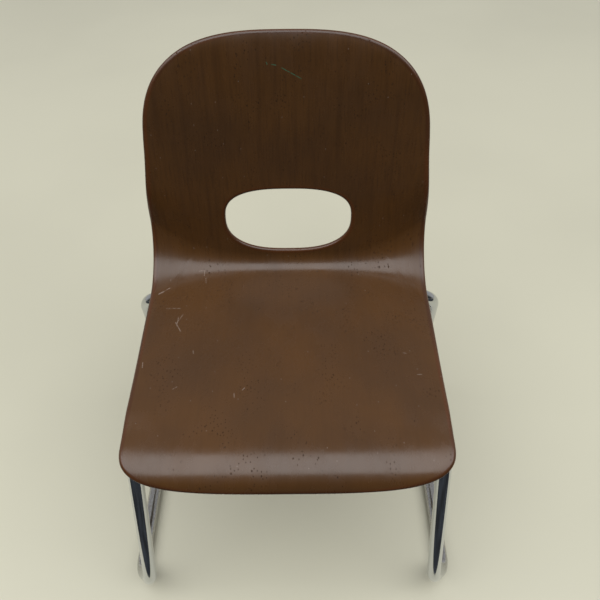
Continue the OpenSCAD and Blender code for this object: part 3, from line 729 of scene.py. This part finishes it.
def swept(places, ways, radii, sides, across):
    """Rings square to a path: a direction across is carried along it without twist."""
    rings = []
    for place, way, r in zip(places, ways, radii):
        across = unit(across - way * (across @ way))
        a = circle(sides)[:, None]
        rings.append(place + (across * np.cos(a) + np.cross(way, across) * np.sin(a)) * r)
    return np.array(rings)


def tube_points(corners, bends, r, sides=48, edge=0.0006):
    """A bent tube with its ends eased by edge."""
    places, ways = bent_path(corners, bends)
    places = np.concatenate([places[:1], places[:1] + ways[:1] * edge, places[1:-1],
                             places[-1:] - ways[-1:] * edge, places[-1:]])
    ways = np.concatenate([ways[:1], ways, ways[-1:]])
    radii = np.full(len(places), r)
    radii[[0, -1]] = r - edge
    seam = np.array([0.0, 0.36, 0.93])  # the side of the tube's first ring that the seam starts on
    return swept(places, ways, radii, sides, seam)


def turned(profile, sides=48, facets=None):
    """A turned piece: profile is (radius, height) from pole to pole, carried round the z axis.

    Facets lists the rings that are hexagons: there the radius is divided by the cosine of the
    angle from the middle of the flat.
    """
    a = circle(sides)
    r, h = np.array(profile, dtype=float).T[:, :, None]
    flat = np.cos((a + pi / 6) % (pi / 3) - pi / 6)
    bend = np.where(np.isin(np.arange(len(profile)), facets or [])[:, None], 1 / flat, 1.0)
    return np.stack([r * bend * np.cos(a), r * bend * np.sin(a), h + 0 * a], axis=-1)


def stadium(arcs, sides=16):
    """An outline made of arcs joined by straight lines, as centres, radii and directions."""
    centres, radii, a = [], [], []
    for x, y, r, start, end in arcs:
        turn = np.radians(np.linspace(start, end, sides))
        centres.append(np.tile([x, y], (sides, 1)))
        radii.append(np.full(sides, r))
        a.append(turn)
    a = np.concatenate(a)
    return np.concatenate(centres), np.concatenate(radii), np.stack([np.cos(a), np.sin(a)], axis=-1)


def plate(outline, thick, hole, ease):
    """A plate with a round hole and eased edges: rings from the hole, over the top, round the
    edge, under the plate and back through the hole."""
    centres, radii, ways = outline
    a = np.linspace(0, pi / 2, 5)
    turn = np.stack([ease * (1 - np.sin(a)), ease * (1 - np.cos(a))], axis=-1)
    edge = [(inset, thick - drop) for inset, drop in turn]
    edge += [(inset, drop) for inset, drop in turn[::-1]]
    bore = [(ease, 0), (0, ease), (0, thick - ease), (ease, thick)]
    rings = [centres + ways * (radii - inset)[:, None] for inset, _ in edge]
    rings += [ways * (hole + grow) for grow, _ in bore]
    return at_heights(rings, [h for _, h in edge + bore])


def at_heights(rings, heights):
    """Flat rings given their heights, as one grid of points."""
    flat = np.array(rings)
    heights = np.broadcast_to(np.array(heights)[:, None, None], (*flat.shape[:2], 1))
    return np.concatenate([flat, heights], axis=-1)


def glide_points(fit, tube_r, runner_z):
    """A floor glide: a stadium with a drawn-in foot whose top follows the runner.

    The top's height is the runner's axis less the square root of R squared less x squared. Each
    ring is the outline drawn in by its inset, times its share.
    """
    half, ease = fit.glide_w / 2, 0.0006
    end = fit.glide_len / 2 - half
    centres, radii, ways = stadium([(0, end, half, 0, 180), (0, -end, half, 180, 360)], 24)
    top = [(0, 0), (0.3, 0), (0.6, 0), (0.85, 0), (1, ease), (1, ease / 3), (1, 0)]
    foot, heights = [(1, 0.0015), (1, 0.0018), (1, 0.0025), (0, 0)], [0.0012, 0.0004, 0, 0]
    share, inset = np.array(top + foot).T[:, :, None, None]
    rings = (centres + ways * (radii[:, None] - inset)) * share
    height = runner_z - np.sqrt((tube_r + HAIR) ** 2 - rings[..., 0] ** 2)
    rim = len(top) - 1
    height[rim] = height[rim - 1] - ease
    height[rim + 1:] = np.array(heights)[:, None]
    return np.concatenate([rings, height[..., None]], axis=-1)


def clip_points(fit, inner):
    """A stacking buffer: a thick arc, open at the top, carried along X with eased ends.

    A point of its section is R times the direction of its place round the arc, and half the wall
    times the way it faces: out, round the tip, in, and round the other tip.
    """
    half, ease = fit.buffer_wall / 2, 0.001
    opening = 0.55  # half the gap at the top, as a share of the tube's radius
    radius = inner + half
    tip = np.arcsin(opening * inner / radius) - half / radius
    around = np.linspace(tip, -pi - tip, 49)
    cap = np.linspace(0, pi, 9)[1:-1]
    at = np.concatenate([around, around[-1] + 0 * cap, around[::-1], around[0] + 0 * cap])
    facing = np.concatenate([around, around[-1] - cap, around[::-1] + pi, around[0] + pi - cap])
    middle, out = (np.stack([np.cos(a), np.sin(a)], axis=-1) for a in (at, facing))
    ends = ((0, half), (0, half * 0.6), (0, ease), (ease * 0.3, ease * 0.3), (ease, 0))
    far_ends = [(fit.buffer_len - x, inset) for x, inset in ends[::-1]]
    x, inset = np.array([*ends, *far_ends]).T[:, :, None, None]
    section = radius * middle + (half - inset) * out
    return np.concatenate([np.broadcast_to(x, (*section.shape[:2], 1)), section], axis=-1)


def bead(places, normals, r, ripples):
    """A weld bead: a thin tube along a closed line, its radius rippled by a sine."""
    way = unit(np.roll(places, -1, axis=0) - np.roll(places, 1, axis=0))
    side = unit(np.cross(way, normals))
    lift = np.cross(side, way)
    wave = r * (1 + RIPPLE * np.sin(np.arange(len(places)) * 2 * pi * ripples / len(places)))
    b = circle(12)[None, :, None]
    return places[:, None] + (lift[:, None] * np.cos(b) + side[:, None] * np.sin(b)) * wave[:, None, None]


def boss_profile(fit, gap):
    """A boss under the shell: round its insert's bore, up its side and out into the shell's underside."""
    r, bore, deep = fit.boss_d / 2, fit.insert_d / 2 + HAIR, 0.0095
    foot = [(r - 0.0008, 0), (r - 0.0002, 0.0002), (r, 0.0008)]
    root = [(0.0002, -0.004), (0.0008, -0.0018), (0.0024, -0.0004), (0.004, 0.0006), (0.004, 0.003)]
    return [(0, deep), (bore, deep), (bore, 0), *foot, *((r + out, gap + up) for out, up in root),
            (0, gap + root[-1][1])]


def screw_profile(d):
    """A socket screw, point up: its hexagon recess, its domed head and its shank."""
    key, head, top, shank = d * 0.325, d * 0.9, d * 0.6, 0.012
    recess = [(0, d * 0.35 - top), (key, d * 0.35 - top), (key, 0.0001 - top), (key + 0.0001, -top)]
    dome = [(0.56, 1), (0.7, 0.93), (0.86, 0.72), (0.96, 0.42), (1, 0.14), (0.98, 0)]
    dome = [(head * out, -top * down) for out, down in dome]
    return [*recess, *dome, (d / 2, 0), (d / 2, shank), (0, shank)]


# ---- operators: one for each piece or group of like pieces

class CHAIR_OT_shell(bpy.types.Operator):
    """Add the moulded shell with its hand slot and its bosses"""
    bl_idname = "chair.add_shell"
    bl_label = "Shell"

    def execute(self, context):
        form = Form(context.scene)
        t = np.linspace(0, 2, 400, endpoint=False)
        rings = form.rings(64, 16)
        points, place = form.skin(t, rings)
        rim = form.shell.shell_t / 2
        away = np.minimum(np.linalg.norm(place - form.outline(t, 0.0), axis=-1),
                          np.linalg.norm(place - form.slot_edge(t, 0.0), axis=-1))
        edge = 1 - smooth((away - rim) / (0.8 * rim))
        height = np.broadcast_to(rings[:, 2, None, None], (*place.shape[:2], 1))
        grain = np.concatenate([place, height], axis=-1)
        piece("moulded_shell", points, "shell", "seat_shell", loop=True, sharp=60, grain=grain, edge=edge)
        for name, _, x, a in form.fixings():
            local = turned(boss_profile(form.fit, form.under_n(x, a) - form.boss_n), 64)
            flat = np.concatenate([local[..., :2] + [x, a], np.zeros_like(local[..., :1])], axis=-1)
            points = form.place(local, x, a, form.boss_n)
            piece(f"{name}_boss", points, "shell", grain=flat, edge=np.zeros(local.shape[:2]))
        return {"FINISHED"}


class CHAIR_OT_tubes(bpy.types.Operator):
    """Add the bent side tubes, the rear rail and the front cross tube"""
    bl_idname = "chair.add_tubes"
    bl_label = "Tubes"

    def execute(self, context):
        form = Form(context.scene)
        tubes = form.tubes
        r = tubes.tube_d / 2
        bends = [0, tubes.front_bend, tubes.foot_bend, tubes.foot_bend, tubes.heel_bend, tubes.rear_bend, 0]
        points = tube_points(form.side_path(), bends, r)
        for sign, side in SIDES:
            piece(f"{side}_side_tube", points * [sign, 1, 1], "chrome", f"{side}_frame_tube")
        cross_x = form.rail_x(tubes.cross_at)
        for name, node, x, a, radius in (
                ("rear_rail_tube", "rear_rail", form.joint_x, form.rail_len, r),
                ("cross_tube", "front_cross_tube", cross_x, tubes.cross_at, tubes.cross_d / 2)):
            ends = [form.on_plane(sign * x, a) for sign, _ in SIDES]
            piece(name, tube_points(ends, [0, 0], radius), "chrome", node)
        return {"FINISHED"}


class CHAIR_OT_welds(bpy.types.Operator):
    """Add the weld beads where tubes and brackets meet"""
    bl_idname = "chair.add_welds"
    bl_label = "Weld beads"

    def execute(self, context):
        form = Form(context.scene)
        tubes = form.tubes
        r = tubes.tube_d / 2
        tilt = 0.7  # how far a bead's face leans out of the corner that it fills
        slope = (tubes.rail_span - tubes.front_span) / 2 / form.rail_len
        lean = 1 / sqrt(1 + slope * slope)
        a = circle(160)
        # a seat rail against the rear rail: on the rail's skin, where it is r from the other axis
        across = np.array([lean, 0, 0]) - form.along_rail * slope * lean
        way = np.array([slope * lean, 0, 0]) + form.along_rail * lean
        out = across * np.cos(a)[:, None] + form.up * np.sin(a)[:, None]
        reach = (slope * lean * np.cos(a) - np.abs(np.cos(a))) * r / lean
        curve = form.on_plane(form.rail_x(form.rail_len), form.rail_len) + out * r + way * reach[:, None]
        rail = bead(curve, unit(out - way * tilt), tubes.weld_r, 26)
        # the cross tube against a seat rail
        small = tubes.cross_d / 2
        at, high = tubes.cross_at + small * np.cos(a), small * np.sin(a)
        curve = form.on_plane(form.rail_x(at) - np.sqrt(r * r - high * high) / lean, at, high)
        out = form.along_rail * np.cos(a)[:, None] + form.up * np.sin(a)[:, None]
        cross = bead(curve, unit(out - [tilt, 0, 0]), tubes.weld_r * 0.8, 22)
        for sign, side in SIDES:
            for joint, points in (("rail", rail), ("cross", cross)):
                piece(f"{side}_{joint}_weld", points * [sign, 1, 1], "chrome", loop=True)
        # along each bracket, under it and beside its rail, thinning to nothing at both ends
        beside, below, ends = 0.0058, 0.0012, 0.46
        share = np.linspace(-1, 1, 41)
        radii = tubes.weld_r * np.sqrt(np.clip(1 - share ** 8, 0, 1)) * (1 + RIPPLE * np.sin(share * 28))
        for name, sign, _, a in form.fixings():
            run = a + share * ends * form.fit.bracket_w
            places = form.on_plane(sign * (form.rail_x(run) - beside / lean), run, form.bracket_n - below)
            ways = np.tile(unit(places[-1] - places[0]), (len(places), 1))
            piece(f"{name}_bracket_weld", swept(places, ways, radii, 14, form.up), "chrome")
        return {"FINISHED"}


class CHAIR_OT_brackets(bpy.types.Operator):
    """Add the four brackets on the seat rails and the resilient pads on them"""
    bl_idname = "chair.add_brackets"
    bl_label = "Brackets and pads"

    def execute(self, context):
        form = Form(context.scene)
        fit = form.fit
        half, corner = fit.bracket_w / 2, 0.002
        inner = fit.screw_side + form.tubes.tube_d / 4 - corner
        hole = fit.screw_d / 2 + SCREW_PLAY
        tab = stadium([(0, 0, half, 90, 270), (inner, corner - half, corner, 270, 360),
                       (inner, half - corner, corner, 360, 450)], 32)
        tab = plate(tab, fit.bracket_t, hole, 0.0005)
        disc = plate(stadium([(0, 0, fit.boss_d / 2, 0, 355)], 72), fit.pad_t, hole, 0.0007)
        for name, sign, x, a in form.fixings():
            points = form.place(tab * [sign, 1, 1], x, a, form.bracket_n)
            piece(f"{name}_bracket_plate", points, "chrome", f"{name}_bracket", loop=True)
            points = form.place(disc, x, a, form.pad_n)
            piece(f"{name}_pad_disc", points, "rubber", f"{name}_pad", loop=True)
        return {"FINISHED"}


class CHAIR_OT_fasteners(bpy.types.Operator):
    """Add the screws and flat washers, and finish the fastenings that stay as they are"""
    bl_idname = "chair.add_fasteners"
    bl_label = "Fasteners"

    def execute(self, context):
        form = Form(context.scene)
        d = form.fit.screw_d
        screw = turned(screw_profile(d), 48, [1, 2, 3])
        ring = plate(stadium([(0, 0, d, 0, 354)], 60), form.fit.washer_t, d / 2 + SCREW_PLAY, 0.0002)
        for name, _, x, a in form.fixings():
            points = form.place(screw, x, a, form.spring_n)
            piece(f"{name}_socket_screw", points, "zinc", f"{name}_screw", sharp=30)
            points = form.place(ring, x, a, form.washer_n)
            piece(f"{name}_plain_washer", points, "zinc", f"{name}_flat_washer", loop=True)
            repaint(f"{name}_spring_washer", "zinc")
            repaint(f"{name}_insert", "brass")
        for _, side in SIDES:
            repaint(f"{side}_rail_sleeve", "steel")
        return {"FINISHED"}


class CHAIR_OT_glides(bpy.types.Operator):
    """Add the floor glides under the runners"""
    bl_idname = "chair.add_glides"
    bl_label = "Glides"

    def execute(self, context):
        form = Form(context.scene)
        tubes, fit = form.tubes, form.fit
        local = glide_points(fit, tubes.tube_d / 2, form.runner_z)
        places = {"front": tubes.front_foot_y + fit.front_glide, "rear": tubes.rear_foot_y - fit.rear_glide}
        for end, y in places.items():
            for sign, side in SIDES:
                points = local + [sign * tubes.runner_span / 2, form.front + y, 0]
                piece(f"{end}_{side}_floor_glide", points, "plastic", f"{end}_{side}_glide", sharp=50)
        return {"FINISHED"}


class CHAIR_OT_buffers(bpy.types.Operator):
    """Add the stacking buffers on the front cross tube"""
    bl_idname = "chair.add_buffers"
    bl_label = "Stacking buffers"

    def execute(self, context):
        form = Form(context.scene)
        tubes, fit = form.tubes, form.fit
        local = clip_points(fit, tubes.cross_d / 2 + HAIR)
        for sign, side in SIDES:
            start = sign * fit.buffer_span / 2 - fit.buffer_len / 2
            points = form.place(local, start, tubes.cross_at)
            piece(f"{side}_buffer_clip", points, "rubber", f"{side}_stacking_buffer", sharp=50)
        return {"FINISHED"}


class CHAIR_OT_stage(bpy.types.Operator):
    """Set the floor, the lamp, the world and the camera"""
    bl_idname = "chair.set_stage"
    bl_label = "Stage"

    def execute(self, context):
        scene = context.scene
        low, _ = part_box("seat_shell")
        edge = low[1]
        a, floor_r = circle(96), 14
        rim = np.stack([floor_r * np.cos(a), floor_r * np.sin(a), 0 * a], axis=-1)
        floor = sheet("floor", rim.tolist(), "floor")
        # dark ground in front of the chair: it is seen in the chrome and the gloss, not by the camera
        near, far, wide, height = edge - 0.08, edge - 9, 6, 0.002
        corners = ((-wide, far), (wide, far), (wide, near), (-wide, near))
        ground = sheet("dark_ground", [(x, y, height) for x, y in corners], "ground")
        ground.visible_camera = ground.visible_shadow = False

        # a large soft box from 10 degrees behind the zenith to 34 degrees in front of it, over the seat
        lamp_h = 8.0
        over_seat = lamp_h - scene.chair_shell.seat_h
        rear, front = edge + over_seat * tan(radians(10)), edge - over_seat * tan(radians(34))
        lamp = bpy.data.lights.new("softbox", "AREA")
        lamp.shape, lamp.size, lamp.size_y = "RECTANGLE", 18.0, rear - front
        radiance = 2.8
        lamp.energy = radiance * pi * lamp.size * lamp.size_y
        lamp.color = (0.98, 0.99, 1.0)
        box = bpy.data.objects.new("softbox", lamp)
        box.location = (0, (rear + front) / 2, lamp_h)
        scene.collection.objects.link(box)

        world = bpy.data.worlds.new("studio")
        world.use_nodes = True
        tree = world.node_tree
        way = add(tree, "TexCoord", out="Generated")
        rearward, up = (add(tree, "SeparateXYZ", [way], axis) for axis in "YZ")
        # behind the chair an even glow; in front it fades from the soft box down to the dark ground
        rear_glow = add(tree, "MapRange", [up, 0.04, 0.5, 1.3, 1.0], **EASED)
        front_glow = add(tree, "MapRange", [up, 0.35, 0.85, 0.12, 1.1], **EASED)
        lit = add(tree, "MapRange", [rearward, -0.35, 0.1, front_glow, rear_glow], **EASED)
        level = 0.36  # of the world where it is neither brightened nor dimmed
        glow = add(tree, "VectorMath.SCALE", {0: [level] * 3, "Scale": lit})
        connect(tree.nodes["Background"], {"Color": glow})
        scene.world = world

        lens = bpy.data.cameras.new("camera")
        lens.lens = lens.sensor_width = 36
        camera = bpy.data.objects.new("camera", lens)
        aim = Matrix.Translation((0.0175, edge - 0.320, 1.128)) @ Matrix.Rotation(radians(42), 4, "X")
        camera.matrix_world = aim @ Matrix.Rotation(radians(-0.5), 4, "Z")
        scene.collection.objects.link(camera)
        scene.camera = camera
        scene.view_settings.view_transform = "Standard"
        return {"FINISHED"}


def sheet(name, corners, coat):
    """A flat face of the stage."""
    mesh = bpy.data.meshes.new(name)
    mesh.from_pydata(corners, [], [list(range(len(corners)))])
    mesh.materials.append(finish(coat))
    made = bpy.data.objects.new(name, mesh)
    bpy.context.scene.collection.objects.link(made)
    return made


def repaint(node, name):
    """Gives a CAD node that stays one of the chair's materials."""
    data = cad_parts[node].data
    data.materials.clear()
    data.materials.append(finish(name))


class CHAIR_PT_panel(bpy.types.Panel):
    """The chair's pieces and sizes"""
    bl_idname = "CHAIR_PT_panel"
    bl_label = "Stacking Chair"
    bl_space_type = "VIEW_3D"
    bl_region_type = "UI"
    bl_category = "Chair"

    def draw(self, context):
        layout = self.layout
        for operator in OPERATORS:
            layout.operator(operator.bl_idname)
        for group in ("chair_shell", "chair_frame", "chair_fittings", "chair_colours"):
            sizes = getattr(context.scene, group)
            column = layout.column(align=True)
            for key in sizes.__annotations__:
                column.prop(sizes, key)


OPERATORS = (CHAIR_OT_shell, CHAIR_OT_tubes, CHAIR_OT_welds, CHAIR_OT_brackets, CHAIR_OT_fasteners,
             CHAIR_OT_glides, CHAIR_OT_buffers, CHAIR_OT_stage)
GROUPS = {"chair_shell": ShellSizes, "chair_frame": FrameSizes, "chair_fittings": FittingSizes,
          "chair_colours": Colours}


def register():
    for cls in (*GROUPS.values(), *OPERATORS, CHAIR_PT_panel):
        bpy.utils.register_class(cls)
    for key, group in GROUPS.items():
        setattr(bpy.types.Scene, key, bpy.props.PointerProperty(type=group))


def unregister():
    for key in GROUPS:
        delattr(bpy.types.Scene, key)
    for cls in reversed((*GROUPS.values(), *OPERATORS, CHAIR_PT_panel)):
        bpy.utils.unregister_class(cls)


def main():
    """Registers the add-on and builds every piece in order."""
    register()
    for operator in OPERATORS:
        group, name = operator.bl_idname.split(".")
        getattr(getattr(bpy.ops, group), name)()


if __name__ == "__main__":
    main()
